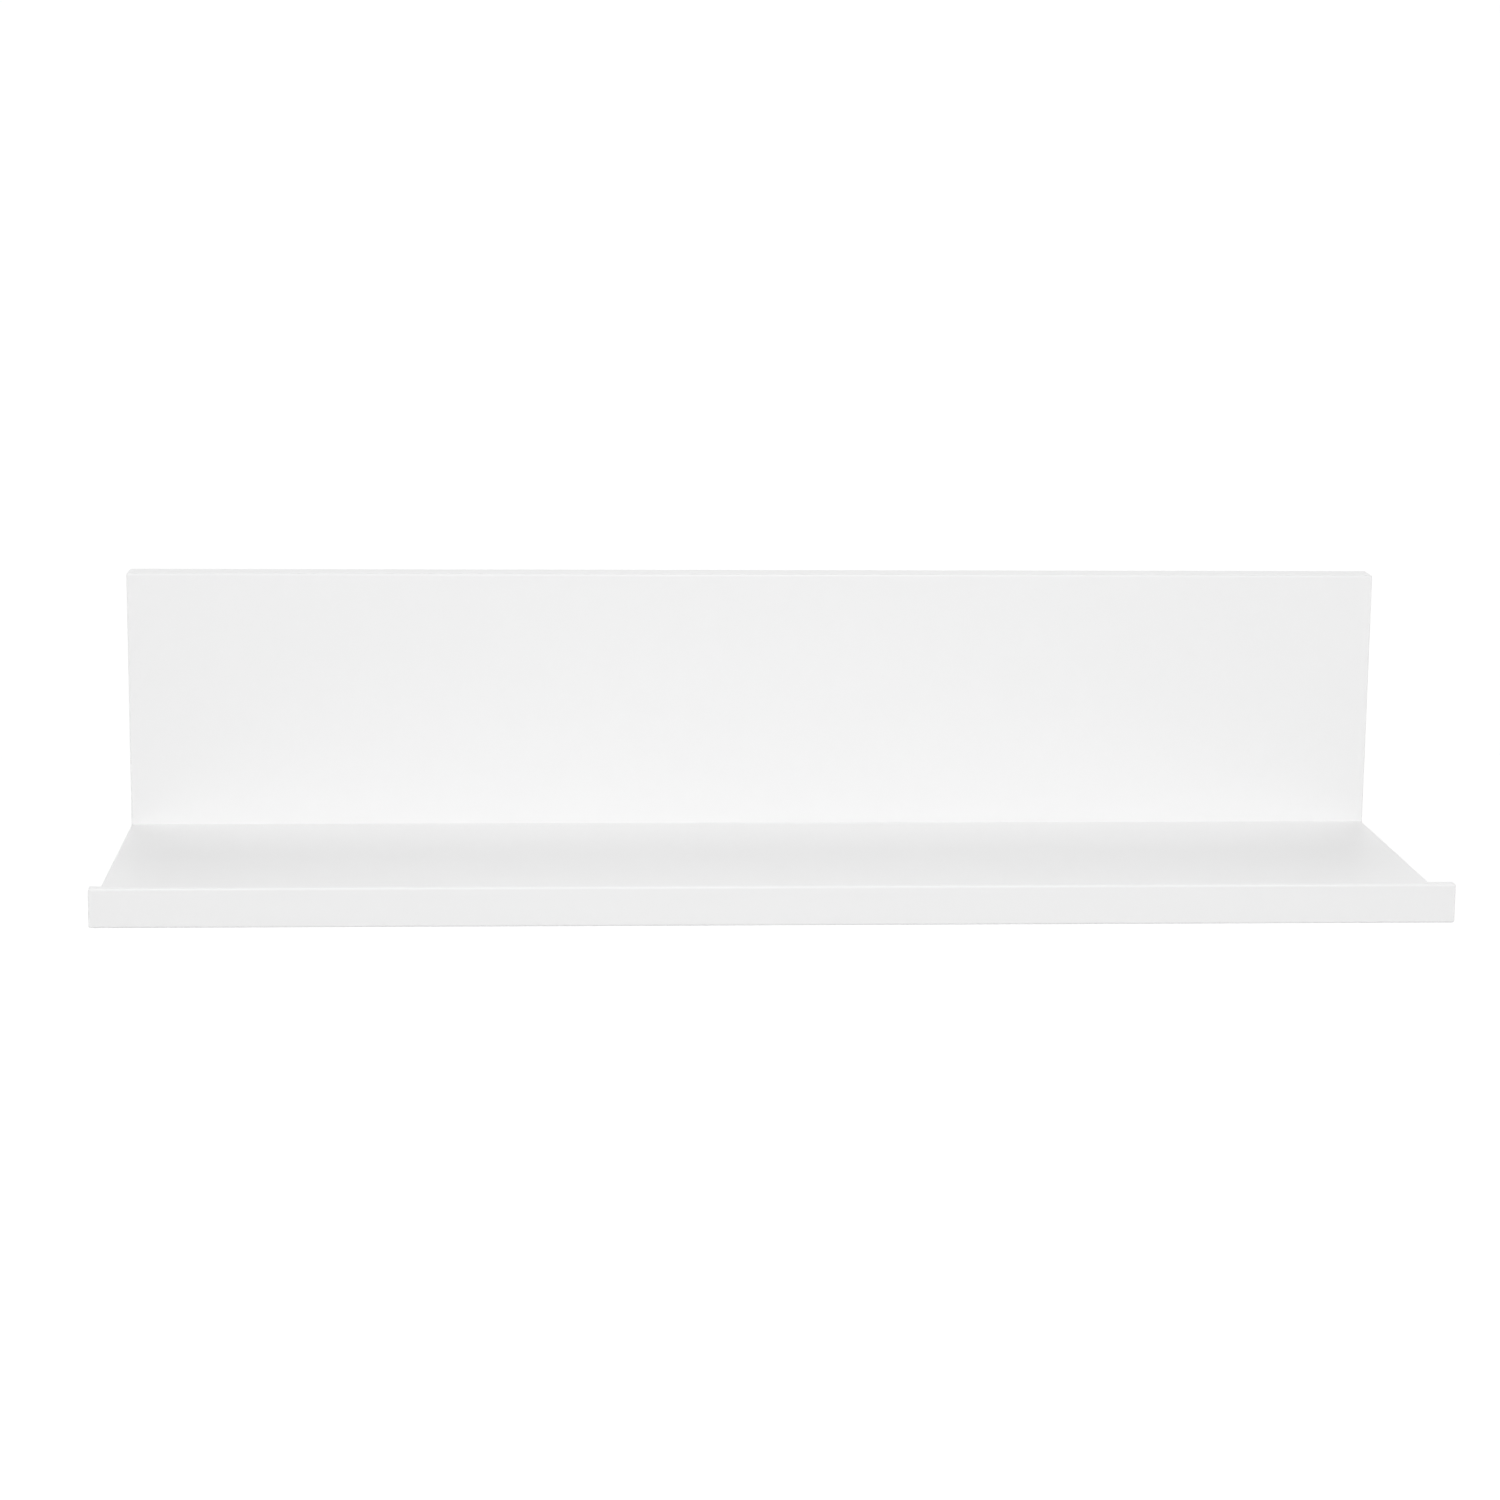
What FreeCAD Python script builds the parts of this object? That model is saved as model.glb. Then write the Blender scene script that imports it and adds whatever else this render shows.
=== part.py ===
"""Floating wall shelf: a tall back panel, a shelf board and a low front lip.

Three lacquered fibreboard boards carry the load. The back panel lies on the wall, and the shelf
board's tongue sits in a rabbet along the panel's foot, with a low step on top that closes the
joint. A thin lip covers the board's front edge and stands above it, so that frames and small
things can't slide off.

Nothing that holds the shelf shows from the front. Two keyhole plates are let into the panel's
rear face, each over a routed pocket. A wall screw's head goes in through the plate's round
hole, and the shelf then drops until the screw's shank sits at the top of the slot.
Countersunk screws and fluted dowels join the panel to the board from behind, and brads that
are filled and lacquered over pin the lip.

Millimetres. +X is to the right seen from the front, +Y goes into the wall, +Z is up. The
origin lies on the wall plane, midway between the seats of the two wall screws.
"""

import FreeCAD, Part
import os
from collections import namedtuple

Vector = FreeCAD.Vector

# ---- Overall sizes ---------------------------------------------------------------------------
WIDTH = 610.0  # left end to right end, the same for the three boards
DEPTH = 203.0  # wall plane to the front face of the lip
HEIGHT = 132.0  # underside of the shelf board to the top edge of the back panel

# ---- Boards ----------------------------------------------------------------------------------
PANEL_T = 16.0  # thickness of the back panel
BOARD_T = 8.0  # thickness of the shelf board
LIP_T = 6.0  # thickness of the front lip
LIP_RISE = 10.0  # top of the lip above the top of the shelf board
TONGUE_LENGTH = 6.0  # how far the board's rear edge is let into the panel's front face
TONGUE_STEP = 1.0  # top of the shelf board above the top of its tongue
ARRIS_R = 1.0  # rounding of the outer edges

# ---- Keyhole plates and the pockets behind them ----------------------------------------------
HANG_SPACING = 406.4  # between the two wall screws: 16 inches, the pitch of wall studs
PLATE_DROP = 16.6  # top edge of the panel down to the keyhole plates
ENTRY_R = 5.0  # round hole that lets a wall screw's head in
SLOT_R = 2.4  # half the width of the slot that takes the screw's shank
SLOT_RISE = 13.0  # centre of the round hole up to the seat at the slot's end
PLATE_T = 1.6  # sheet steel
PLATE_SINK = 0.3  # plate's rear face below the panel's rear face
PLATE_GAP = 0.3  # clearance round the plate in its recess
HEAD_ROOM = 1.0  # pocket's side beyond the side of the round hole
LEDGE = 2.0  # fibreboard ledge that carries each long side of the plate
FIXING_OFFSET = 4.4  # end of the pocket to the centre of a plate screw
POCKET_FLOOR = 8.0  # fibreboard left between the pocket and the panel's front face

# ---- Countersunk screws ----------------------------------------------------------------------
BOARD_SCREW_COUNT = 4  # through the panel into the rear edge of the shelf board
BOARD_SCREW_END = 50.0  # end of the shelf to the first screw
BOARD_SCREW_R = 1.5
BOARD_SCREW_HEAD_R = 3.0
BOARD_SCREW_LENGTH = 35.0
BOARD_SCREW_SINK = 0.3  # head below the panel's rear face
PLATE_SCREW_R = 1.25
PLATE_SCREW_HEAD_R = 2.4
PLATE_SCREW_COVER = 2.5  # fibreboard left in front of the point
POINT_TAPER = 1.8  # length of a screw's point over its shank's radius
CROSS_SPAN = 0.6  # driver cross over the head's width
CROSS_WING = 0.14  # thickness of a wing of the cross over the head's width
CROSS_DEPTH = 0.25  # depth of the cross over the head's width
HOLE_GAP = 0.08  # clearance all round a screw, dowel or brad in its hole

# ---- Dowels, one inside each of the outer board screws ---------------------------------------
DOWEL_OFFSET = 85.0  # from the outer screw towards the middle of the shelf
DOWEL_R = 2.0
DOWEL_LENGTH = 20.0
DOWEL_COVER = 3.5  # fibreboard left behind a dowel's hole in the panel
DOWEL_END_GAP = 0.5  # room for glue at each end of the dowel
DOWEL_CHAMFER = 0.6
FLUTE_COUNT = 8
FLUTE_DEPTH = 0.3

# ---- Brads of flat wire, with a T-shaped head and a chisel point -----------------------------
BRAD_COUNT = 6
BRAD_END = 25.0  # end of the shelf to the first brad
BRAD_SINK = 1.0  # filler and lacquer over the brad's head
BRAD_LENGTH = 20.0
BRAD_WIDTH = 1.2
BRAD_T = 1.0  # thickness of the wire, and of the head
BRAD_HEAD_WIDTH = 1.9
BRAD_HEAD_LENGTH = 0.8
BRAD_POINT = 1.2  # length of the chisel point

# ---- The keyhole, up and down from the seat at z = 0 -----------------------------------------
POCKET_R = ENTRY_R + HEAD_ROOM
PLATE_R = POCKET_R + LEDGE  # half the plate's width, and the radius of its ends
ENTRY_Z = -SLOT_RISE
UPPER_FIXING_Z = POCKET_R + FIXING_OFFSET
LOWER_FIXING_Z = ENTRY_Z - POCKET_R - FIXING_OFFSET
PLATE_REAR_Y = -PLATE_SINK
PLATE_FRONT_Y = PLATE_REAR_Y - PLATE_T
SIDES = {"left": -HANG_SPACING / 2, "right": HANG_SPACING / 2}

# ---- Planes that the boards share ------------------------------------------------------------
LEFT_X = -WIDTH / 2
RIGHT_X = WIDTH / 2
PANEL_FRONT_Y = -PANEL_T
BOARD_REAR_Y = PANEL_FRONT_Y + TONGUE_LENGTH
LIP_FRONT_Y = -DEPTH
LIP_REAR_Y = LIP_FRONT_Y + LIP_T
TOP_Z = UPPER_FIXING_Z + PLATE_R + PLATE_DROP
BOTTOM_Z = TOP_Z - HEIGHT
BOARD_TOP_Z = BOTTOM_Z + BOARD_T
TONGUE_TOP_Z = BOARD_TOP_Z - TONGUE_STEP
LIP_TOP_Z = BOARD_TOP_Z + LIP_RISE
JOINT_Z = BOTTOM_Z + BOARD_T / 2  # screws, dowels and brads run along the board's middle
OVERCUT = 1.0  # how far a cutting tool starts outside the face that it enters


# ---- Building blocks -------------------------------------------------------------------------
def slab(x0, x1, y0, y1, z0, z1):
    """A rectangular block between two opposite corners."""
    return Part.makeBox(x1 - x0, y1 - y0, z1 - z0, Vector(x0, y0, z0))


def edges_in(solid, **planes):
    """The solid's edges that lie in all of the given planes, such as x=0 and z=5."""
    return [
        edge
        for edge in solid.Edges
        if all(
            abs(getattr(vertex, axis.upper()) - place) < 1e-6
            for vertex in edge.Vertexes
            for axis, place in planes.items()
        )
    ]


def bore(radius, x, z, y_rear, y_front):
    """A round bar along Y."""
    return Part.makeCylinder(radius, y_rear - y_front, Vector(x, y_rear, z), Vector(0, -1, 0))


def stadium(radius, x, z_low, z_high, y_rear, y_front):
    """An upright prism with round ends, whose end arcs are centred at z_low and z_high."""
    left, right = x - radius, x + radius
    low_left, high_left = Vector(left, y_rear, z_low), Vector(left, y_rear, z_high)
    low_right, high_right = Vector(right, y_rear, z_low), Vector(right, y_rear, z_high)
    top, foot = Vector(x, y_rear, z_high + radius), Vector(x, y_rear, z_low - radius)
    outline = Part.Wire(
        [
            Part.LineSegment(low_left, high_left).toShape(),
            Part.Arc(high_left, top, high_right).toShape(),
            Part.LineSegment(high_right, low_right).toShape(),
            Part.Arc(low_right, foot, low_left).toShape(),
        ]
    )
    return Part.Face(outline).extrude(Vector(0, y_front - y_rear, 0))


def turned(profile):
    """A solid turned about the Y axis from (radius, y) points that start and end on the axis."""
    points = [Vector(radius, y, 0) for radius, y in profile]
    face = Part.Face(Part.makePolygon(points + points[:1]))
    return face.revolve(Vector(0, 0, 0), Vector(0, 1, 0), 360)


def prism(outline, z_low, z_high):
    """An upright prism from the (x, y) corners of its outline."""
    corners = [Vector(x, y, z_low) for x, y in outline]
    face = Part.Face(Part.makePolygon(corners + corners[:1]))
    return face.extrude(Vector(0, 0, z_high - z_low))


def placed(solid, place):
    """A copy of a solid made at the origin, moved to a place."""
    moved = solid.copy()
    moved.translate(place)
    return moved


def spread(count, end_distance):
    """Evenly spaced X positions along the shelf, the outer two at a distance from its ends."""
    step = (WIDTH - 2 * end_distance) / (count - 1)
    return [LEFT_X + end_distance + i * step for i in range(count)]


# ---- Countersunk screws ----------------------------------------------------------------------
Screw = namedtuple("Screw", "shank_r head_r length")
BOARD_SCREW = Screw(BOARD_SCREW_R, BOARD_SCREW_HEAD_R, BOARD_SCREW_LENGTH)
PLATE_SCREW = Screw(
    PLATE_SCREW_R, PLATE_SCREW_HEAD_R, PANEL_T - PLATE_SINK - PLATE_SCREW_COVER
)
BOARD_SCREW_X = spread(BOARD_SCREW_COUNT, BOARD_SCREW_END)
BOARD_SCREW_PLACES = [Vector(x, -BOARD_SCREW_SINK, JOINT_Z) for x in BOARD_SCREW_X]
PLATE_SCREW_PLACES = {
    side: [Vector(x, PLATE_REAR_Y, z) for z in (UPPER_FIXING_Z, LOWER_FIXING_Z)]
    for side, x in SIDES.items()
}


def screw_solid(screw):
    """A countersunk screw that points to the front, its head's top at y = 0.

    The driver's cross is two slots that narrow towards their floor, one across the other.
    """
    head_end = screw.shank_r - screw.head_r
    point_start = POINT_TAPER * screw.shank_r - screw.length
    body = turned(
        [
            (0, 0),
            (screw.head_r, 0),
            (screw.shank_r, head_end),
            (screw.shank_r, point_start),
            (0, -screw.length),
        ]
    )
    span, wing = CROSS_SPAN * screw.head_r, CROSS_WING * screw.head_r
    depth = 2 * CROSS_DEPTH * screw.head_r
    slot = prism([(-span, 0), (span, 0), (wing, -depth), (-wing, -depth)], -wing, wing)
    crossing = slot.copy()
    crossing.rotate(Vector(0, 0, 0), Vector(0, 1, 0), 90)
    return body.cut([slot, crossing])


def screw_hole(screw):
    """The hole for that screw: a countersink that opens on past the head, and a flat floor."""
    shank = screw.shank_r + HOLE_GAP
    mouth = screw.head_r + HOLE_GAP + OVERCUT
    floor = -screw.length - HOLE_GAP
    head_end = screw.shank_r - screw.head_r
    return turned([(0, OVERCUT), (mouth, OVERCUT), (shank, head_end), (shank, floor), (0, floor)])


# ---- Dowels ----------------------------------------------------------------------------------
DOWEL_REAR_Y = -DOWEL_COVER - DOWEL_END_GAP
DOWEL_FRONT_Y = DOWEL_REAR_Y - DOWEL_LENGTH
DOWEL_X = [BOARD_SCREW_X[0] + DOWEL_OFFSET, BOARD_SCREW_X[-1] - DOWEL_OFFSET]


def dowel_solid():
    """A beech dowel along Y with chamfered ends and V-shaped flutes for the glue."""
    full, end = DOWEL_R, DOWEL_R - DOWEL_CHAMFER
    bar = turned(
        [
            (0, DOWEL_REAR_Y),
            (end, DOWEL_REAR_Y),
            (full, DOWEL_REAR_Y - DOWEL_CHAMFER),
            (full, DOWEL_FRONT_Y + DOWEL_CHAMFER),
            (end, DOWEL_FRONT_Y),
            (0, DOWEL_FRONT_Y),
        ]
    )
    root, rim = DOWEL_R - FLUTE_DEPTH, DOWEL_R + FLUTE_DEPTH
    corners = [(root, 0), (rim, 2 * FLUTE_DEPTH), (rim, -2 * FLUTE_DEPTH), (root, 0)]
    outline = Part.makePolygon([Vector(x, DOWEL_REAR_Y, z) for x, z in corners])
    flutes = []
    for i in range(FLUTE_COUNT):
        flute = Part.Face(outline).extrude(Vector(0, DOWEL_FRONT_Y - DOWEL_REAR_Y, 0))
        flute.rotate(Vector(0, 0, 0), Vector(0, 1, 0), 360 * i / FLUTE_COUNT)
        flutes.append(flute)
    return bar.cut(flutes)


def dowel_hole(x):
    """The two blind holes, one in the panel and one in the board, that a dowel is glued into."""
    rear, front = DOWEL_REAR_Y + DOWEL_END_GAP, DOWEL_FRONT_Y - DOWEL_END_GAP
    return bore(DOWEL_R + HOLE_GAP, x, JOINT_Z, rear, front)


# ---- Brads -----------------------------------------------------------------------------------
BRAD_PLACES = [Vector(x, LIP_FRONT_Y + BRAD_SINK, JOINT_Z) for x in spread(BRAD_COUNT, BRAD_END)]


def brad_solid(gap=0.0):
    """A brad that points to the rear, its head's top at y = 0, or with a gap its hole."""
    head, wire = BRAD_HEAD_WIDTH / 2 + gap, BRAD_WIDTH / 2 + gap
    point_start, tip = BRAD_LENGTH - BRAD_POINT, BRAD_LENGTH + gap
    outline = [
        (-head, -gap),
        (head, -gap),
        (head, BRAD_HEAD_LENGTH),
        (wire, BRAD_HEAD_LENGTH),
        (wire, point_start),
        (0, tip),
        (-wire, point_start),
        (-wire, BRAD_HEAD_LENGTH),
        (-head, BRAD_HEAD_LENGTH),
    ]
    return prism(outline, -BRAD_T / 2 - gap, BRAD_T / 2 + gap)


# ---- Keyhole plates --------------------------------------------------------------------------
def keyhole_plate(side):
    """A stamped steel plate with round ends, a keyhole and a countersunk hole at each end."""
    x = SIDES[side]
    plate = stadium(PLATE_R, x, LOWER_FIXING_Z, UPPER_FIXING_Z, PLATE_REAR_Y, PLATE_FRONT_Y)
    rear, front = PLATE_REAR_Y + OVERCUT, PLATE_FRONT_Y - OVERCUT
    plate = plate.cut(bore(ENTRY_R, x, ENTRY_Z, rear, front))
    plate = plate.cut(stadium(SLOT_R, x, ENTRY_Z, 0, rear, front))
    for place in PLATE_SCREW_PLACES[side]:
        plate = plate.cut(placed(screw_hole(PLATE_SCREW), place))
    return plate


def plate_seat(side):
    """What the router takes out of the panel: a recess for the plate, and a deeper pocket
    in which the wall screw's head travels."""
    x = SIDES[side]
    around = PLATE_R + PLATE_GAP
    recess = stadium(around, x, LOWER_FIXING_Z, UPPER_FIXING_Z, OVERCUT, PLATE_FRONT_Y)
    pocket = stadium(POCKET_R, x, ENTRY_Z, 0, OVERCUT, PANEL_FRONT_Y + POCKET_FLOOR)
    return recess.fuse(pocket)


# ---- Boards ----------------------------------------------------------------------------------
def back_panel():
    """The upright board on the wall, with the tongue's rabbet, the plates' seats and the holes."""
    panel = slab(LEFT_X, RIGHT_X, PANEL_FRONT_Y, 0, BOTTOM_Z, TOP_Z)
    arrises = edges_in(panel, z=TOP_Z) + edges_in(panel, y=0, z=BOTTOM_Z)
    for x in (LEFT_X, RIGHT_X):
        arrises += edges_in(panel, x=x, y=0)
        arrises += edges_in(panel, x=x, y=PANEL_FRONT_Y)
        arrises += edges_in(panel, x=x, z=BOTTOM_Z)
    panel = panel.makeFillet(ARRIS_R, arrises)
    rabbet = slab(
        LEFT_X - OVERCUT,
        RIGHT_X + OVERCUT,
        PANEL_FRONT_Y - OVERCUT,
        BOARD_REAR_Y,
        BOTTOM_Z - OVERCUT,
        TONGUE_TOP_Z,
    )
    panel = panel.cut(rabbet)
    for side in SIDES:
        panel = panel.cut(plate_seat(side))
        for place in PLATE_SCREW_PLACES[side]:
            panel = panel.cut(placed(screw_hole(PLATE_SCREW), place))
    for place in BOARD_SCREW_PLACES:
        panel = panel.cut(placed(screw_hole(BOARD_SCREW), place))
    for x in DOWEL_X:
        panel = panel.cut(dowel_hole(x))
    return panel


def shelf_board():
    """The level board, from the lip's rear face to the floor of the panel's rabbet."""
    board = slab(LEFT_X, RIGHT_X, LIP_REAR_Y, BOARD_REAR_Y, BOTTOM_Z, BOARD_TOP_Z)
    arrises = []
    for x in (LEFT_X, RIGHT_X):
        arrises += edges_in(board, x=x, z=BOTTOM_Z)
        arrises += edges_in(board, x=x, z=BOARD_TOP_Z)
    board = board.makeFillet(ARRIS_R, arrises)
    above_tongue = slab(
        LEFT_X - OVERCUT,
        RIGHT_X + OVERCUT,
        PANEL_FRONT_Y,
        BOARD_REAR_Y + OVERCUT,
        TONGUE_TOP_Z,
        BOARD_TOP_Z + OVERCUT,
    )
    board = board.cut(above_tongue)
    for place in BOARD_SCREW_PLACES:
        board = board.cut(placed(screw_hole(BOARD_SCREW), place))
    for x in DOWEL_X:
        board = board.cut(dowel_hole(x))
    for place in BRAD_PLACES:
        board = board.cut(placed(brad_solid(HOLE_GAP), place))
    return board


def front_lip():
    """The thin upright strip on the board's front edge, flush with the board's underside."""
    lip = slab(LEFT_X, RIGHT_X, LIP_FRONT_Y, LIP_REAR_Y, BOTTOM_Z, LIP_TOP_Z)
    arrises = edges_in(lip, z=LIP_TOP_Z) + edges_in(lip, y=LIP_FRONT_Y, z=BOTTOM_Z)
    for x in (LEFT_X, RIGHT_X):
        arrises += edges_in(lip, x=x, y=LIP_FRONT_Y)
        arrises += edges_in(lip, x=x, z=BOTTOM_Z)
    lip = lip.makeFillet(ARRIS_R, arrises)
    for place in BRAD_PLACES:
        lip = lip.cut(placed(brad_solid(HOLE_GAP), place))
    return lip


# ---- The assembly ----------------------------------------------------------------------------
def pieces():
    """The solids of every piece by name. Like fasteners share a name as separate solids."""
    made = {
        "back_panel": [back_panel()],
        "shelf_board": [shelf_board()],
        "front_lip": [front_lip()],
        "board_screws": [placed(screw_solid(BOARD_SCREW), p) for p in BOARD_SCREW_PLACES],
        "board_dowels": [placed(dowel_solid(), Vector(x, 0, JOINT_Z)) for x in DOWEL_X],
        "lip_brads": [placed(brad_solid(), p) for p in BRAD_PLACES],
        "keyhole_screws": [],
    }
    for side, places in PLATE_SCREW_PLACES.items():
        made["keyhole_plate_" + side] = [keyhole_plate(side)]
        made["keyhole_screws"] += [placed(screw_solid(PLATE_SCREW), p) for p in places]
    return made


def main():
    """Writes each piece to its own STEP file and prints its size."""
    os.makedirs("parts", exist_ok=True)
    for name, solids in pieces().items():
        shape = solids[0] if len(solids) == 1 else Part.makeCompound(solids)
        shape.exportStep("parts/" + name + ".step")
        box = shape.BoundBox
        size = f"{box.XLength:.1f} x {box.YLength:.1f} x {box.ZLength:.1f} mm"
        print(f"{name}: {len(solids)} solid(s), {size}, {shape.Volume / 1000:.3f} cm3")


main()
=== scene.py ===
# %% [markdown]
# # A floating wall shelf in satin white lacquer
#
# The shelf is three boards: a tall back panel that lies on the wall, a level shelf board at its
# foot, and a thin lip along the front that keeps picture frames from sliding off. On the real
# object each board is sawn from medium-density fibreboard, its outer edges are eased with a
# small rounding tool, and primer and two coats of satin lacquer are sprayed on.
#
# A construction model already holds every board, screw and hanger at its true size. It is the
# fixed frame of this lesson. Nothing in it is moved or reshaped: we give each piece its finish,
# then build a pale studio round it.

# %% Load the frame
import math
from functools import reduce

import bpy
import numpy as np
from mathutils import Matrix, Vector


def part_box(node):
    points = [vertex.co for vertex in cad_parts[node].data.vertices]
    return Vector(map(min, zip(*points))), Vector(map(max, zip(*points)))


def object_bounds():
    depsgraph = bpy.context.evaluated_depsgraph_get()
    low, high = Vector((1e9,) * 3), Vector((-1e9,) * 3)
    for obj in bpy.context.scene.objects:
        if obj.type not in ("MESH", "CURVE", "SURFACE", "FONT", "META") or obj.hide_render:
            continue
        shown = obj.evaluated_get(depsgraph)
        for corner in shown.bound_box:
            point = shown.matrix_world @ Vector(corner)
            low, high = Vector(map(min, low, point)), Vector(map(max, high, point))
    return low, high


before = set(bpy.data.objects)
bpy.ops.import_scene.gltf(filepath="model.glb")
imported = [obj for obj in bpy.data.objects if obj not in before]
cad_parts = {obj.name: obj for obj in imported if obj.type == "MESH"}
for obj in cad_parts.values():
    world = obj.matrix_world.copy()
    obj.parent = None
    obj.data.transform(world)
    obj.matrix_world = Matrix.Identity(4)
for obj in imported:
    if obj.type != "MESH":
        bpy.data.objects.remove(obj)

MM = 0.001
MICRON = 1e-6
X, Y, Z = range(3)
CAD_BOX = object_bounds()
for name in sorted(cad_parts):
    low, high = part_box(name)
    size = " x ".join(f"{(b - a) / MM:.1f}" for a, b in zip(low, high))
    print(f"{name}: {size} mm")

# %% [markdown]
# ## A small kit for material nodes
#
# A material in Cycles is a graph: small nodes with input and output sockets, joined by links.
# Written out with `nodes.new` and `links.new`, even a simple sum hides what it does. So a few
# helpers make a graph read like ordinary code. Each takes sockets or plain values, adds its
# nodes, and hands back an output socket for the next line. A socket knows the tree that it
# belongs to, as `id_data`, so the tree needn't be passed around.

# %% Helpers that add one node
def node(tree, kind, inputs=None, **settings):
    """Adds a node. Inputs go by name or number: a socket is linked, a plain value is set."""
    made = tree.nodes.new(kind)
    for key, value in settings.items():
        setattr(made, key, value)
    for key, value in (inputs or {}).items():
        if isinstance(value, bpy.types.NodeSocket):
            tree.links.new(value, made.inputs[key])
        else:
            made.inputs[key].default_value = value
    return made


def maths(operation, a, b=0.0, c=0.0):
    """One step of arithmetic: MULTIPLY_ADD is a * b + c, the others are what they say."""
    tree = next(v for v in (a, b, c) if isinstance(v, bpy.types.NodeSocket)).id_data
    return node(tree, "ShaderNodeMath", {0: a, 1: b, 2: c}, operation=operation).outputs[0]


def ease(value, start, end):
    """0 up to start and 1 past end, with a smooth S-curve between. The end may be the lower one."""
    inputs = {"Value": value, "From Min": start, "From Max": end}
    settings = {"interpolation_type": "SMOOTHSTEP"}
    return node(value.id_data, "ShaderNodeMapRange", inputs, **settings).outputs["Result"]


def blend(share, first, second):
    """A colour between two: first where the share is 0, second where it is 1.

    A Mix node has inputs for every kind of data. Its colours are the inputs 6 and 7, and the
    output 2.
    """
    inputs = {"Factor": share, 6: first, 7: second}
    return node(share.id_data, "ShaderNodeMix", inputs, data_type="RGBA").outputs[2]


# %% Helpers made of those
def add(base, pattern, amount):
    """The base plus the pattern times the amount."""
    return maths("MULTIPLY_ADD", pattern, amount, base)


def least(values):
    """The lowest of several values, found two at a time."""
    return reduce(lambda a, b: maths("MINIMUM", a, b), values)


def most(values):
    """The highest of several values, found two at a time."""
    return reduce(lambda a, b: maths("MAXIMUM", a, b), values)


# %% [markdown]
# ## Patterns with a real size
#
# Every pattern below is noise, read at the point's own place on the object. Two things make
# noise look like a material instead of like noise: its size has to be the real one, and it has
# to run the way the real process ran. `noise` therefore takes the width of a blotch in metres,
# and a stretch for each axis: a stretch of 12 along X turns blotches into streaks along X.

# %% Noise with a size and a direction
def noise(place, size, detail=2.0, stretch=(1, 1, 1)):
    """Smooth noise about 0.5. A blotch is `size` metres wide, times the stretch of each axis."""
    tree = place.id_data
    scale = Vector([1 / (size * times) for times in stretch])
    scaled = node(tree, "ShaderNodeMapping", {"Vector": place, "Scale": scale})
    inputs = {"Vector": scaled.outputs[0], "Scale": 1.0, "Detail": detail}
    return node(tree, "ShaderNodeTexNoise", inputs).outputs["Fac"]


def wander(base, blotches, amount):
    """The base, give or take half the amount, as the noise strays from its middle."""
    return add(base, maths("SUBTRACT", blotches, 0.5), amount)


# %% [markdown]
# ## From patterns to a finish
#
# Each finish ends in one Principled shader with a pattern for colour, one for roughness and one
# for relief. The relief is given as a height in microns, the unit in which a painter measures a
# coat, and the Bump node turns it into slopes. A finish replaces whatever material the frame
# gave the piece, and the mesh stays as it is.

# %% Start a finish, end it and put it on
def start_material(name, display_color):
    """A new material. Returns it, its Principled shader and the point's place on the object."""
    material = bpy.data.materials.new(name)
    material.use_nodes = True
    material.diffuse_color = (*display_color, 1.0)
    tree = material.node_tree
    place = tree.nodes.new("ShaderNodeTexCoord").outputs["Object"]
    return material, tree.nodes["Principled BSDF"], place


def finish_material(material, shader, color, roughness, height):
    """Links a pattern each for colour, roughness and relief. The height is in microns."""
    tree = material.node_tree
    relief = node(tree, "ShaderNodeBump", {"Height": height, "Distance": MICRON, "Strength": 1.0})
    tree.links.new(color, shader.inputs["Base Color"])
    tree.links.new(roughness, shader.inputs["Roughness"])
    tree.links.new(relief.outputs["Normal"], shader.inputs["Normal"])
    print("made", material.name, "with", len(tree.nodes), "nodes")
    return material


def wear(frame_node, material):
    """Puts one material on a piece of the frame."""
    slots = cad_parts[frame_node].data.materials
    slots.clear()
    slots.append(material)
    print(f"{frame_node} wears {material.name}")


# %% [markdown]
# ## Where on a board are we?
#
# Lacquer on fibreboard isn't the same everywhere. The broad faces are dense and take an even
# coat. The sawn edges are open and thirsty, so the layers of the board show through the paint as
# fine lines. Round an arris, the line where two faces meet, the wet coat pulls thin. And what was
# routed or drilled after spraying has no coat at all.
#
# All four follow from one measure: how deep a point lies below the board's box, along each axis.
# We could paint masks by hand, but then they would be wrong as soon as a size changes.

# %% Depth below the faces of a board
def coordinates(place):
    """The X, Y and Z of a place, each as a socket."""
    return tuple(node(place.id_data, "ShaderNodeSeparateXYZ", {0: place}).outputs)


def depths(place, board):
    """For X, Y and Z: half the board's size less the distance from its middle, in metres."""
    low, high = (np.array(corner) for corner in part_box(board))
    found = []
    for axis, value in enumerate(coordinates(place)):
        middle, half = (low[axis] + high[axis]) / 2, (high[axis] - low[axis]) / 2
        away = maths("ABSOLUTE", maths("SUBTRACT", value, middle))
        found.append(maths("SUBTRACT", half, away))
    return found


# %% Three masks for a board
ARRIS = 1.0 * MM  # rounding of the boards' outer edges
SKIN = 0.6 * MM  # how far the coat reaches over the rim of a cut
CHIP = 0.5 * MM  # width of a flake that the cutter tears out of that rim
RAGGED = 0.3 * MM  # how far the flakes move the rim


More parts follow.
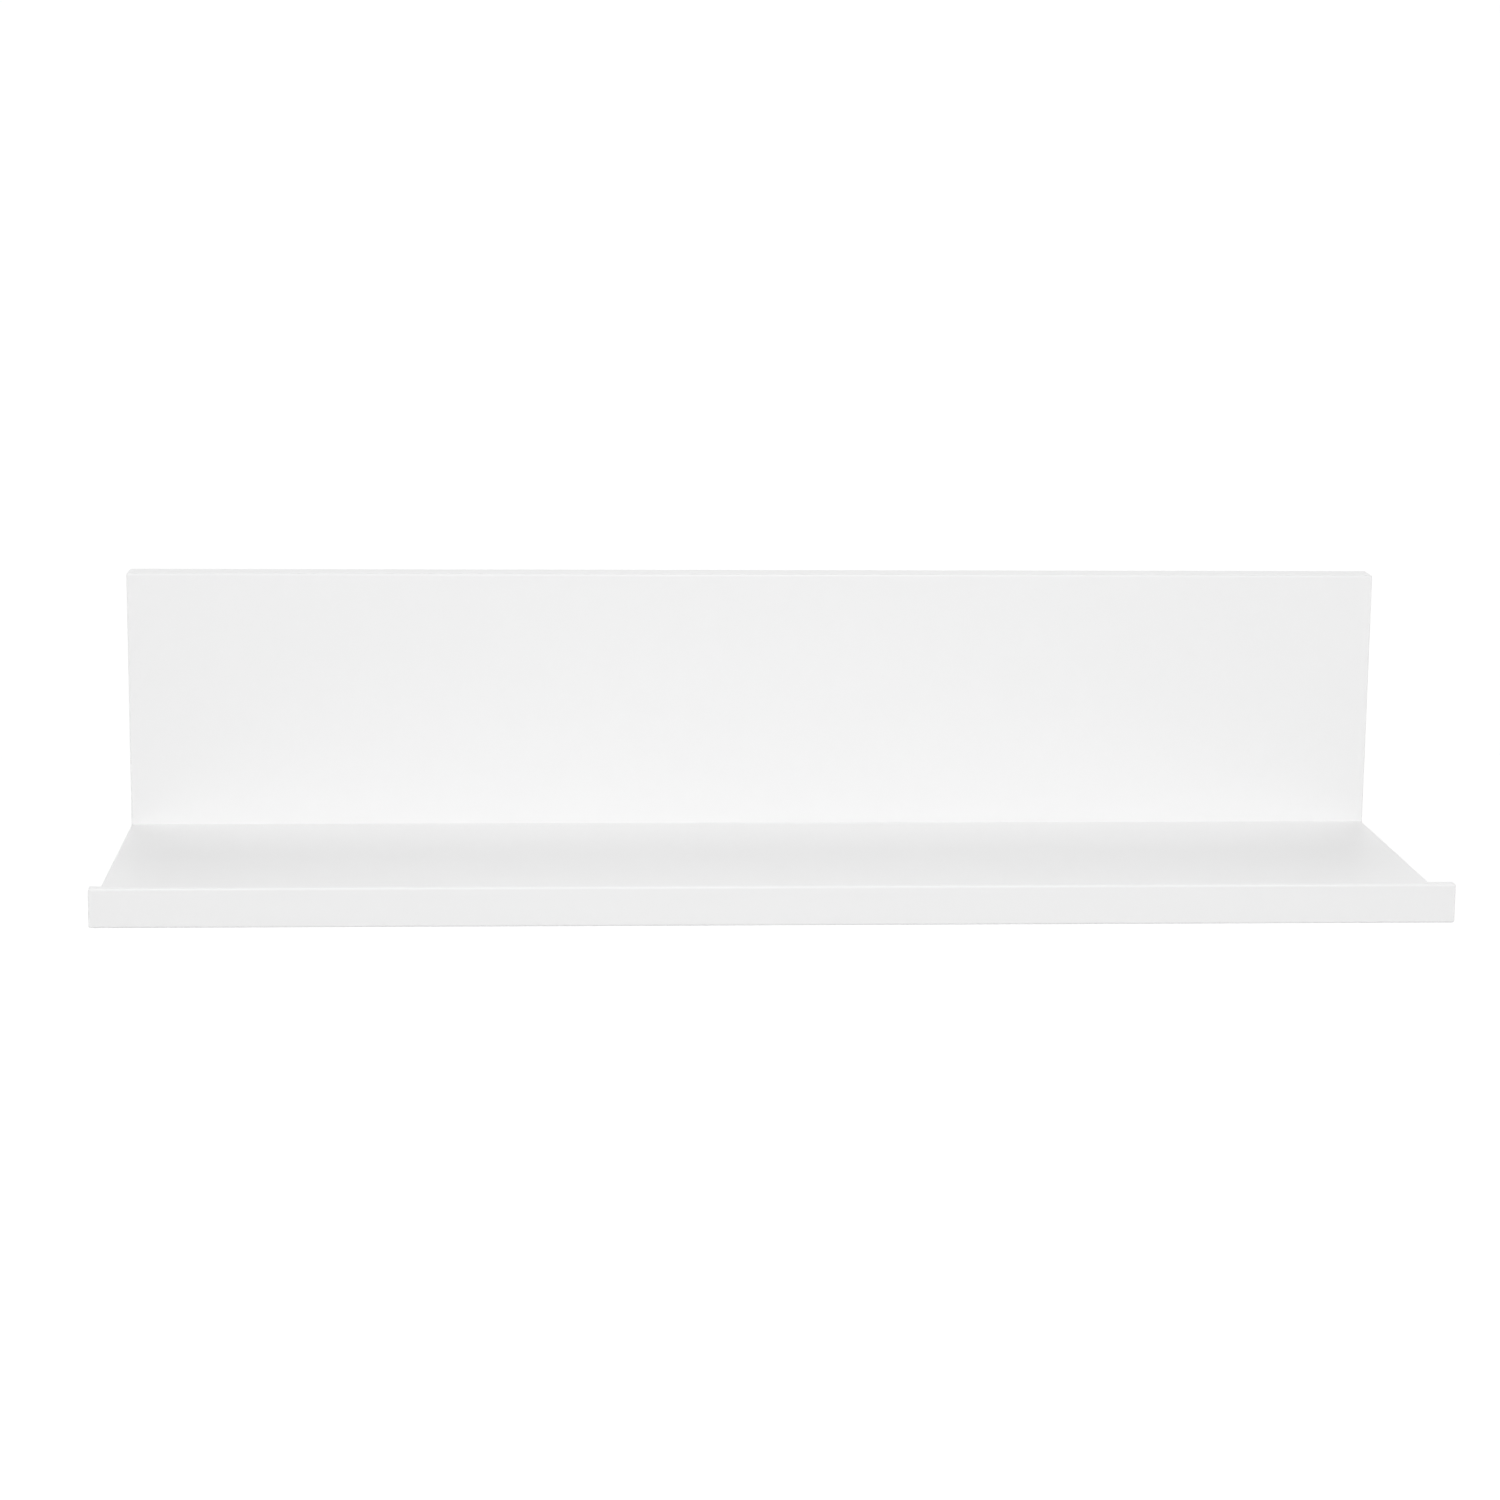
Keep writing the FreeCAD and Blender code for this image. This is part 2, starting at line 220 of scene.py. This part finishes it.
def board_masks(place, depth, thickness_axis, sawn_axes):
    """1 on the sawn edges, 1 round an arris, and 1 where a cutter went in later.

    A point is on a sawn edge if it is near a face of a sawn axis. It is on an arris if it is
    also near a broad face, and in a cut if it is near no face at all. The middle of a rounded
    corner lies 0.42 of the arris below all of its faces, so the skin is deeper than that.
    """
    edge = least([depth[axis] for axis in sawn_axes])
    sawn = ease(edge, ARRIS, 0.2 * ARRIS)
    arris = ease(most([edge, depth[thickness_axis]]), ARRIS, 0.1 * ARRIS)
    rim = add(least(depth), noise(place, CHIP), RAGGED)
    bare = ease(rim, SKIN + RAGGED / 3, SKIN + 2 * RAGGED / 3)
    return sawn, arris, bare


# %% [markdown]
# ## Where does another board begin?
#
# The boards are sprayed first and joined afterwards. In the inner corners they press together and
# no line shows. Where two of them end flush, at the shelf's ends and underneath, the coat rolls
# in over each edge and a little dust settles, so the joint stays visible as a hairline. It could
# be a groove, but it is a third of a millimetre wide and the frame isn't ours to cut. It is
# easier to say as a distance: a point belongs to the hairline if the neighbour is closer than
# that.
#
# In a section across the shelf each board is one or two rectangles. The shelf board has a tongue
# at its rear, let into the foot of the panel, and the top of the tongue is one step lower than
# the board. The frame's vertices behind the panel's front face tell how high it is.

# %% The boards in section, as rectangles of Y and Z
PANEL_BOX, BOARD_BOX, LIP_BOX = (
    np.array(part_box(name))[:, Y:] for name in ("back_panel", "shelf_board", "front_lip")
)
panel_front, underside = PANEL_BOX[0]
board_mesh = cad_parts["shelf_board"].data
corners = np.empty(3 * len(board_mesh.vertices))
board_mesh.vertices.foreach_get("co", corners)
_, y, z = corners.reshape(-1, 3).T
tongue_top = z[y > panel_front + 0.1 * MM].max()
tongue_end, board_top = BOARD_BOX[1]
SECTIONS = {
    "board": [(BOARD_BOX[0], (panel_front, board_top))],
    "tongue": [((panel_front, underside), (tongue_end, tongue_top))],
    "panel": [
        ((panel_front, tongue_top), PANEL_BOX[1]),
        ((tongue_end, underside), (PANEL_BOX[1][0], tongue_top)),
    ],
    "lip": [tuple(LIP_BOX)],
}
print(f"the tongue is {(tongue_top - underside) / MM:.1f} mm thick")

# %% The hairline beside a flush joint
HAIRLINE = 0.3 * MM


def distance_outside(place, low, high):
    """How far a point lies outside a rectangle of Y and Z, less than 0 if it is inside.

    It is the largest of four differences: low Y less y, y less high Y, and the same for Z.
    """
    sides = []
    for value, lowest, highest in zip(coordinates(place)[Y:], low, high):
        sides += [maths("SUBTRACT", float(lowest), value), maths("SUBTRACT", value, float(highest))]
    return most(sides)


def hairline(place, end_depth, neighbours):
    """1 on the ends and underside of a board next to its neighbours, 0 elsewhere.

    A point is at an end or underneath if it lies less than a part of the arris below that face:
    halfway round the arris it lies 0.29 of it below.
    """
    rectangles = [rectangle for name in neighbours for rectangle in SECTIONS[name]]
    nearest = least([distance_outside(place, low, high) for low, high in rectangles])
    under_depth = maths("SUBTRACT", coordinates(place)[Z], float(underside))
    flush = ease(least([end_depth, under_depth]), 0.5 * ARRIS, 0.3 * ARRIS)
    return maths("MULTIPLY", ease(nearest, HAIRLINE, HAIRLINE / 3), flush)


# %% [markdown]
# ## Satin lacquer
#
# Satin lacquer scatters most light and mirrors a little, softly. The gun travels along the shelf,
# and its passes leave long, faint bands in the sheen. The white itself hardly changes: it wanders
# over a hand's width, and again over a fingertip's.

# %% White and sheen of the coat
LACQUER = 0.865  # the share of light that the coat sends back, the same for red, green and blue
DUST = 0.42  # that share in a hairline
HAND, HAND_RANGE = 70 * MM, 0.012  # how wide a slow change of the white is, and its range
FINGERTIP, FINGERTIP_RANGE = 7 * MM, 0.006
ARRIS_LOSS, SAWN_LOSS = 0.008, 0.004  # white that a thin coat and a soaked edge lose
SATIN = 0.35  # roughness
GUN_PASS, PASS_RANGE = 26 * MM, 0.08
SAWN_DRYNESS = 0.07


def coat_white(place, sawn, arris, joint):
    """Even white, a shade darker on sawn edges and arrises, and dusty in a joint."""
    white = wander(LACQUER, noise(place, HAND, detail=3.0, stretch=(3, 1, 1)), HAND_RANGE)
    white = wander(white, noise(place, FINGERTIP), FINGERTIP_RANGE)
    white = add(white, arris, -ARRIS_LOSS)
    white = add(white, sawn, -SAWN_LOSS)
    return add(white, joint, DUST - LACQUER)


def coat_roughness(place, sawn):
    """Satin, in bands along the gun's passes, and drier where a sawn edge drank the coat."""
    passes = noise(place, GUN_PASS, stretch=(14, 1, 1))
    return add(wander(SATIN, passes, PASS_RANGE), sawn, SAWN_DRYNESS)


# %% [markdown]
# ## Primer on the rear
#
# The rear face, which nobody sees, isn't lacquered. It has the primer and whatever overspray
# drifted round the edges, so it is duller and drier than the front, with soft clouds and a fine
# stipple. One mask along Y switches from one coat to the other inside the arris.

# %% The rear face
PRIMER = 0.80
OVERSPRAY, OVERSPRAY_RANGE = 45 * MM, 0.16
STIPPLE, STIPPLE_RANGE = 2.5 * MM, 0.04
DRY = 0.55  # roughness


def primed_rear(place, rear_y, white, roughness):
    """The colour and roughness of the coat, with primer in place of lacquer at the rear."""
    rear = ease(coordinates(place)[Y], rear_y - 0.8 * ARRIS, rear_y - 0.1 * ARRIS)
    clouds = noise(place, OVERSPRAY, detail=6.0, stretch=(2, 1, 1))
    primer = wander(PRIMER, clouds, OVERSPRAY_RANGE)
    primer = wander(primer, noise(place, STIPPLE), STIPPLE_RANGE)
    white = add(white, rear, maths("SUBTRACT", primer, white))
    return white, add(roughness, rear, DRY - SATIN)


# %% [markdown]
# ## Bare fibreboard
#
# The fibreboard under the coat shows wherever a cutter went in later: in the seats of the two
# hangers and in the countersinks. It is brown dust and paler fibres, pressed flat, so two sizes
# of noise added together choose between two browns.

# %% Fibreboard
FIBRE_DARK = (0.33, 0.215, 0.125, 1.0)
FIBRE_PALE = (0.52, 0.37, 0.235, 1.0)
FIBRE, CLUMP = 0.6 * MM, 4 * MM
MATT = 0.9  # roughness


def bare_fibreboard(place):
    """The colour of the fibres, and their pattern for the relief."""
    fibres = noise(place, FIBRE, detail=5.0)
    clumps = noise(place, CLUMP, detail=3.0)
    pale = ease(wander(fibres, clumps, 0.4), 0.25, 0.75)
    return blend(pale, FIBRE_DARK, FIBRE_PALE), fibres


# %% [markdown]
# ## Orange peel
#
# Sprayed droplets flow together into a skin with a faint orange peel: crests about two
# millimetres apart and some ten microns high, far too low to model, so it is relief in the
# material. On the sawn edges the layers of the board show through it as ridges that lie across
# the thickness, and where the coat is missing the fibres stand up.

# %% Relief of a board
PEEL, PEEL_HEIGHT = 2.2 * MM, 14.0  # widths in metres, heights in microns
GRAIN, GRAIN_HEIGHT = 0.4 * MM, 1.5
LAYER, LAYER_HEIGHT = 0.7 * MM, 18.0
LAYER_RUN = 16  # how much longer than thick a layer shows
FIBRE_HEIGHT = 120.0


def board_relief(place, thickness_axis, sawn, bare, fibres):
    """Peel and grain everywhere, plus layers on sawn edges and fibres on bare board."""
    along = tuple(1 if axis == thickness_axis else LAYER_RUN for axis in (X, Y, Z))
    layers = noise(place, LAYER, stretch=along)
    height = maths("MULTIPLY", noise(place, PEEL, detail=1.0), PEEL_HEIGHT)
    height = add(height, noise(place, GRAIN, detail=1.0), GRAIN_HEIGHT)
    height = add(height, sawn, maths("MULTIPLY", layers, LAYER_HEIGHT))
    return add(height, bare, maths("MULTIPLY", fibres, FIBRE_HEIGHT))


# %% The finish of one board
def satin_lacquer(board, thickness_axis, sawn_axes, neighbours, primed=False):
    """All of the above on one board. The sawn axes are those whose end faces are open edges."""
    material, shader, place = start_material("satin_lacquer_" + board, (LACQUER,) * 3)
    depth = depths(place, board)
    sawn, arris, bare = board_masks(place, depth, thickness_axis, sawn_axes)
    joint = hairline(place, depth[X], neighbours)
    white = coat_white(place, sawn, arris, joint)
    roughness = coat_roughness(place, sawn)
    if primed:
        white, roughness = primed_rear(place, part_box(board)[1][Y], white, roughness)
    fibreboard, fibres = bare_fibreboard(place)
    color = blend(bare, white, fibreboard)
    roughness = add(roughness, bare, maths("SUBTRACT", MATT, roughness))
    height = board_relief(place, thickness_axis, sawn, bare, fibres)
    return finish_material(material, shader, color, roughness, height)


# %% Dress the three boards
wear("back_panel", satin_lacquer("back_panel", Y, (X, Z), ("board", "tongue"), primed=True))
wear("shelf_board", satin_lacquer("shelf_board", Z, (X,), ("panel", "lip")))
wear("front_lip", satin_lacquer("front_lip", Y, (X, Z), ("board",)))

# %% [markdown]
# ## Bright zinc
#
# The hangers are stamped from rolled sheet and plated with zinc, and the screws are plated too.
# Zinc is a grey metal with a soft mirror. Three marks tell it from chrome: the plating grows in
# tiny crystals that break the mirror into a mottle, a clear passivation tints it a little blue
# and a little straw from place to place, and the sheet keeps the fine parallel lines of the
# rolling mill. On a screw there is no rolling mill, and the same recipe runs without a stretch.

# %% Zinc on steel
ZINC_BLUE = (0.45, 0.475, 0.505, 1.0)
ZINC_STRAW = (0.53, 0.515, 0.475, 1.0)
ZINC_DULL = (0.27, 0.275, 0.28, 1.0)
TINT, CLOUD = 7 * MM, 3 * MM
CRYSTAL, CRYSTAL_RANGE, CRYSTAL_HEIGHT = 0.35 * MM, 0.16, 2.0  # range of the roughness, microns
MILL_LINE, MILL_HEIGHT = 0.9 * MM, 3.0
MILL_RUN = 40  # how much longer than wide a line of the rolling mill is
PLATED = 0.30  # roughness
STREAK_SHARE, STREAK_DRYNESS = 0.6, 0.15  # dull colour and roughness that a streak brings


def zinc_patterns(place, run):
    """Colour, roughness and relief. The mill's lines are `run` times as long as they are wide."""
    tint = ease(noise(place, TINT, detail=3.0), 0.35, 0.68)
    crystals = noise(place, CRYSTAL, detail=3.0)
    lines = noise(place, MILL_LINE, detail=4.0, stretch=(1, 1, run))
    streaks = ease(wander(lines, noise(place, CLOUD), 0.5), 0.25, 0.75)
    color = blend(tint, ZINC_BLUE, ZINC_STRAW)
    color = blend(maths("MULTIPLY", streaks, STREAK_SHARE), color, ZINC_DULL)
    roughness = add(wander(PLATED, crystals, CRYSTAL_RANGE), streaks, STREAK_DRYNESS)
    height = add(maths("MULTIPLY", crystals, CRYSTAL_HEIGHT), lines, MILL_HEIGHT)
    return color, roughness, height


# %% [markdown]
# ## Painted shade in a screw's cross
#
# The cross of the driver's recess is darkened in its colour, a painted shade. The painted shade
# goes by the depth below the head's face, and ends where the shank begins, because there a point
# is deep without being in the cross.

# %% Painted shade in the driver's recess
# painted shade: a near-black colour that stands in for shade in the recess
RECESS_SHADE_COLOR = (0.07, 0.065, 0.06, 1.0)
SHADE_START_DEPTH = 0.05 * MM  # the depth below the head's face where the painted shade begins
RECESS_DEPTH = 1.4 * MM
RECESS_SHADE_SHARE, RECESS_DRYNESS = 0.85, 0.25  # share of painted shade in the colour, and the roughness added in the recess


def paint_recess_shade(place, head_y, color, roughness):
    """The colour and roughness of a screw, with painted shade below the face of its head."""
    below = maths("SUBTRACT", head_y, coordinates(place)[Y])
    # the share of painted shade grows with the depth below the head's face
    recess_shade = ease(below, SHADE_START_DEPTH, RECESS_DEPTH / 2)
    recess_shade = maths("MULTIPLY", recess_shade, ease(below, 2 * RECESS_DEPTH, 1.5 * RECESS_DEPTH))
    color = blend(maths("MULTIPLY", recess_shade, RECESS_SHADE_SHARE), color, RECESS_SHADE_COLOR)
    return color, add(roughness, recess_shade, RECESS_DRYNESS)


# %% Dress hangers and screws
def bright_zinc(name, run=1, head_y=None):
    """Plated steel. Screws are told where the face of their heads is."""
    material, shader, place = start_material(name, ZINC_BLUE[:3])
    shader.inputs["Metallic"].default_value = 1.0
    color, roughness, height = zinc_patterns(place, run)
    if head_y is not None:
        # paints shade into the screws' cross recess
        color, roughness = paint_recess_shade(place, head_y, color, roughness)
    return finish_material(material, shader, color, roughness, height)


rolled_zinc = bright_zinc("rolled_zinc_plate", run=MILL_RUN)
wear("keyhole_plate_left", rolled_zinc)
wear("keyhole_plate_right", rolled_zinc)
for screws in ("keyhole_screws", "board_screws"):
    wear(screws, bright_zinc("zinc_on_" + screws, head_y=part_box(screws)[1][Y]))

# %% [markdown]
# ## Drawn wire, inside the joints
#
# Brads and dowels are buried in the boards, but the model may be opened, so they get a finish as
# well. Brad wire is pulled through a die, which leaves bright lines along its length, from front
# to rear. Noise with a long stretch along Y is such a line.

# %% Drawn steel wire
WIRE_DARK = (0.50, 0.49, 0.48, 1.0)
WIRE_PALE = (0.62, 0.61, 0.585, 1.0)
DIE_LINE, DIE_RANGE, DIE_HEIGHT = 0.12 * MM, 0.2, 4.0
DIE_RUN = 60
OIL_PATCH = 2.5 * MM
DRAWN = 0.32  # roughness


def drawn_wire():
    """Bright steel with fine lines along Y and a film of oil in patches."""
    material, shader, place = start_material("drawn_steel_wire", WIRE_DARK[:3])
    shader.inputs["Metallic"].default_value = 1.0
    lines = noise(place, DIE_LINE, stretch=(1, DIE_RUN, 1))
    color = blend(noise(place, OIL_PATCH), WIRE_DARK, WIRE_PALE)
    roughness = wander(DRAWN, lines, DIE_RANGE)
    height = maths("MULTIPLY", lines, DIE_HEIGHT)
    return finish_material(material, shader, color, roughness, height)


wear("lip_brads", drawn_wire())

# %% [markdown]
# ## Beech dowels
#
# A dowel is turned from beech: pale pink-brown wood with its grain along the dowel, and short
# dark flecks, the rays, that tell beech from birch. The dowels run front to rear like the brads,
# so growth rings, pores and rays all stretch along Y, each by its own measure.

# %% Bare beech
BEECH_DARK = (0.47, 0.30, 0.175, 1.0)
BEECH_PALE = (0.63, 0.44, 0.275, 1.0)
BEECH_RAY = (0.27, 0.145, 0.075, 1.0)
RING, RAY, RAY_SHARE = 1.6 * MM, 0.45 * MM, 0.7
PORE, PORE_RANGE, PORE_HEIGHT = 0.16 * MM, 0.15, 40.0
TURNED = 0.65  # roughness


def bare_beech():
    """Pale wood with growth rings, pores and short dark rays along Y."""
    material, shader, place = start_material("bare_beech", BEECH_PALE[:3])
    rings = noise(place, RING, stretch=(1, 40, 1))
    pores = noise(place, PORE, stretch=(1, 18, 1))
    rays = ease(noise(place, RAY, detail=1.0, stretch=(1, 5, 0.5)), 0.66, 0.74)
    wood = blend(ease(rings, 0.3, 0.7), BEECH_DARK, BEECH_PALE)
    color = blend(maths("MULTIPLY", rays, RAY_SHARE), wood, BEECH_RAY)
    roughness = wander(TURNED, pores, PORE_RANGE)
    height = maths("MULTIPLY", pores, PORE_HEIGHT)
    return finish_material(material, shader, color, roughness, height)


wear("board_dowels", bare_beech())

# %% [markdown]
# ## A pale studio
#
# A white object on white needs care: lit too strongly it clips, and its faces run together. So
# the light on the shelf stays at a plain level, where a surface renders about as bright as its
# own colour, and the background is made white in another way. The Light Path node tells what
# kind of ray arrives. The camera, reflections and glass see the room at a strength of just over
# 1, which is white, while the light that the room throws on the shelf is under half of that.

# %% Rays that see the room itself
AMBIENT = 0.40  # light that falls on the shelf from all round
ROOM_WHITE = 1.02  # 1 is white, and the rest keeps film noise out of it


def sees_the_room(tree):
    """1 for camera, glossy and transmission rays, 0 for those that gather light."""
    ray = node(tree, "ShaderNodeLightPath").outputs
    return most([ray["Is Camera Ray"], ray["Is Glossy Ray"], ray["Is Transmission Ray"]])


def pale_room():
    """The world: white to look at, and softer as a lamp."""
    world = bpy.data.worlds.new("pale_room")
    world.use_nodes = True
    tree = world.node_tree
    tree.nodes.clear()
    strength = add(AMBIENT, sees_the_room(tree), ROOM_WHITE - AMBIENT)
    room = node(tree, "ShaderNodeBackground", {"Color": (1, 1, 1, 1), "Strength": strength})
    node(tree, "ShaderNodeOutputWorld", {"Surface": room.outputs[0]})
    return world


bpy.context.scene.world = pale_room()
print(f"the room gives {AMBIENT:.2f} of its light and looks like {ROOM_WHITE:.2f}")

# %% [markdown]
# ## The floor
#
# The shelf hangs at about chest height, so the floor lies a good metre below it. The floor is
# ordinary matt paper that takes light and shadow. It gets one addition: the part of white that
# the room's light can't bring is given to camera and reflection rays as a little light of its
# own. Lamps come on top of that, so the paper is white, and a shadow still darkens it.

# %% Pale paper floor
FLOOR_DROP = 1.1  # metres from the shelf's underside to the floor
FLOOR_REACH = 6.0
PAPER = 0.85
floor_z = CAD_BOX[0][Z] - FLOOR_DROP
floor_corners = [(-1, -1), (1, -1), (1, 1), (-1, 1)]
floor_mesh = bpy.data.meshes.new("paper_floor")
floor_mesh.from_pydata(
    [(FLOOR_REACH * x, FLOOR_REACH * y, floor_z) for x, y in floor_corners], [], [(0, 1, 2, 3)]
)
floor = bpy.data.objects.new("paper_floor", floor_mesh)
bpy.context.scene.collection.objects.link(floor)

paper, shader, _ = start_material("matt_paper", (PAPER,) * 3)
shader.inputs["Base Color"].default_value = (PAPER, PAPER, PAPER, 1.0)
shader.inputs["Roughness"].default_value = MATT
shader.inputs["Specular IOR Level"].default_value = 0.1
shader.inputs["Emission Color"].default_value = (1, 1, 1, 1)
missing_white = ROOM_WHITE - PAPER * AMBIENT
glow = maths("MULTIPLY", sees_the_room(paper.node_tree), missing_white)
paper.node_tree.links.new(glow, shader.inputs["Emission Strength"])
floor_mesh.materials.append(paper)
print(f"floor at z = {floor_z:.3f} m, {missing_white:.2f} of white added for the camera")

# %% [markdown]
# ## Soft boxes
#
# Three large soft boxes shape the front. One stands straight ahead at about eye level, and keeps
# the upright faces a shade brighter than the level board. One hangs high in front and puts a
# soft gradient down the panel. The third hangs high behind the shelf: the panel shades most of
# the board from it, so it draws light lines along the top of the panel and of the lip, which
# would sink into the background or the board without it.
#
# A fill box behind the wall side and one at each end, all at the shelf's own height, graze past
# the front and only fill the faces that look away from it. Seen along such a face, satin lacquer
# is nearly a mirror, and a lamp's reflection would burn out. Fill light has no business in a
# reflection, so these and the rear soft box are hidden from glossy rays, which see the white
# room instead. No lamp shows to the camera, whichever side the shelf is looked at from.

# %% Lamps
AIM = Vector((0.0, -0.10, -0.03))  # about the middle of the shelf


def soft_box(name, place, width, height, watts, mirrored=True):
    """A rectangular area lamp that points from its place to the middle of the shelf."""
    data = bpy.data.lights.new(name, "AREA")
    data.shape = "RECTANGLE"
    data.size, data.size_y, data.energy = width, height, watts
    lamp = bpy.data.objects.new(name, data)
    lamp.location = place
    lamp.rotation_euler = (AIM - Vector(place)).to_track_quat("-Z", "Y").to_euler()
    lamp.visible_camera = False
    lamp.visible_glossy = mirrored
    bpy.context.scene.collection.objects.link(lamp)
    print(f"{name}: {watts} W, {(AIM - Vector(place)).length:.2f} m away")


soft_box("front_soft_box", (0.0, -2.2, 0.5), 1.4, 1.0, 11.5)
soft_box("high_soft_box", (0.0, -1.5, 1.5), 1.6, 1.0, 18.2)
soft_box("rear_soft_box", (0.0, 1.45, 1.5), 1.6, 1.0, 11.4, mirrored=False)
soft_box("rear_fill", (0.0, 2.4, AIM.z), 1.6, 1.0, 15.0, mirrored=False)
soft_box("left_fill", (-2.4, AIM.y, AIM.z), 1.0, 1.0, 11.0, mirrored=False)
soft_box("right_fill", (2.4, AIM.y, AIM.z), 1.0, 1.0, 11.0, mirrored=False)

# %% [markdown]
# ## The camera
#
# The camera stands 1.8 m in front of the wall, left of the shelf's middle and about 0.3 m above
# the hanging screws, and looks slightly down and to the right. A long lens keeps the boards'
# edges nearly parallel.
#
# A new camera looks straight down, with its top towards +Y. Three turns aim it, and a product of
# matrices is read from right to left: first the roll about its own axis, then the tip upwards to
# the pitch below the horizon, and last the yaw about the vertical.

# %% Camera
CAMERA_PLACE = (-0.1160, -1.8033, 0.2823)
PITCH_DOWN = math.radians(10.584)
YAW_RIGHT = math.radians(3.649)
ROLL = math.radians(0.606)  # right-hand side up
LENS_MM = 88.75
SENSOR_MM = 36.0

camera_data = bpy.data.cameras.new("camera")
camera_data.lens = LENS_MM
camera_data.sensor_width = SENSOR_MM
camera = bpy.data.objects.new("camera", camera_data)
bpy.context.scene.collection.objects.link(camera)
camera.matrix_world = (
    Matrix.Translation(CAMERA_PLACE)
    @ Matrix.Rotation(-YAW_RIGHT, 4, "Z")
    @ Matrix.Rotation(math.pi / 2 - PITCH_DOWN, 4, "X")
    @ Matrix.Rotation(ROLL, 4, "Z")
)
bpy.context.scene.camera = camera
bpy.context.scene.view_settings.view_transform = "Standard"
distance = (Vector(CAMERA_PLACE) - AIM).length
print(f"the camera is {distance:.2f} m away, {LENS_MM} mm lens, {len(bpy.data.lights)} lamps")
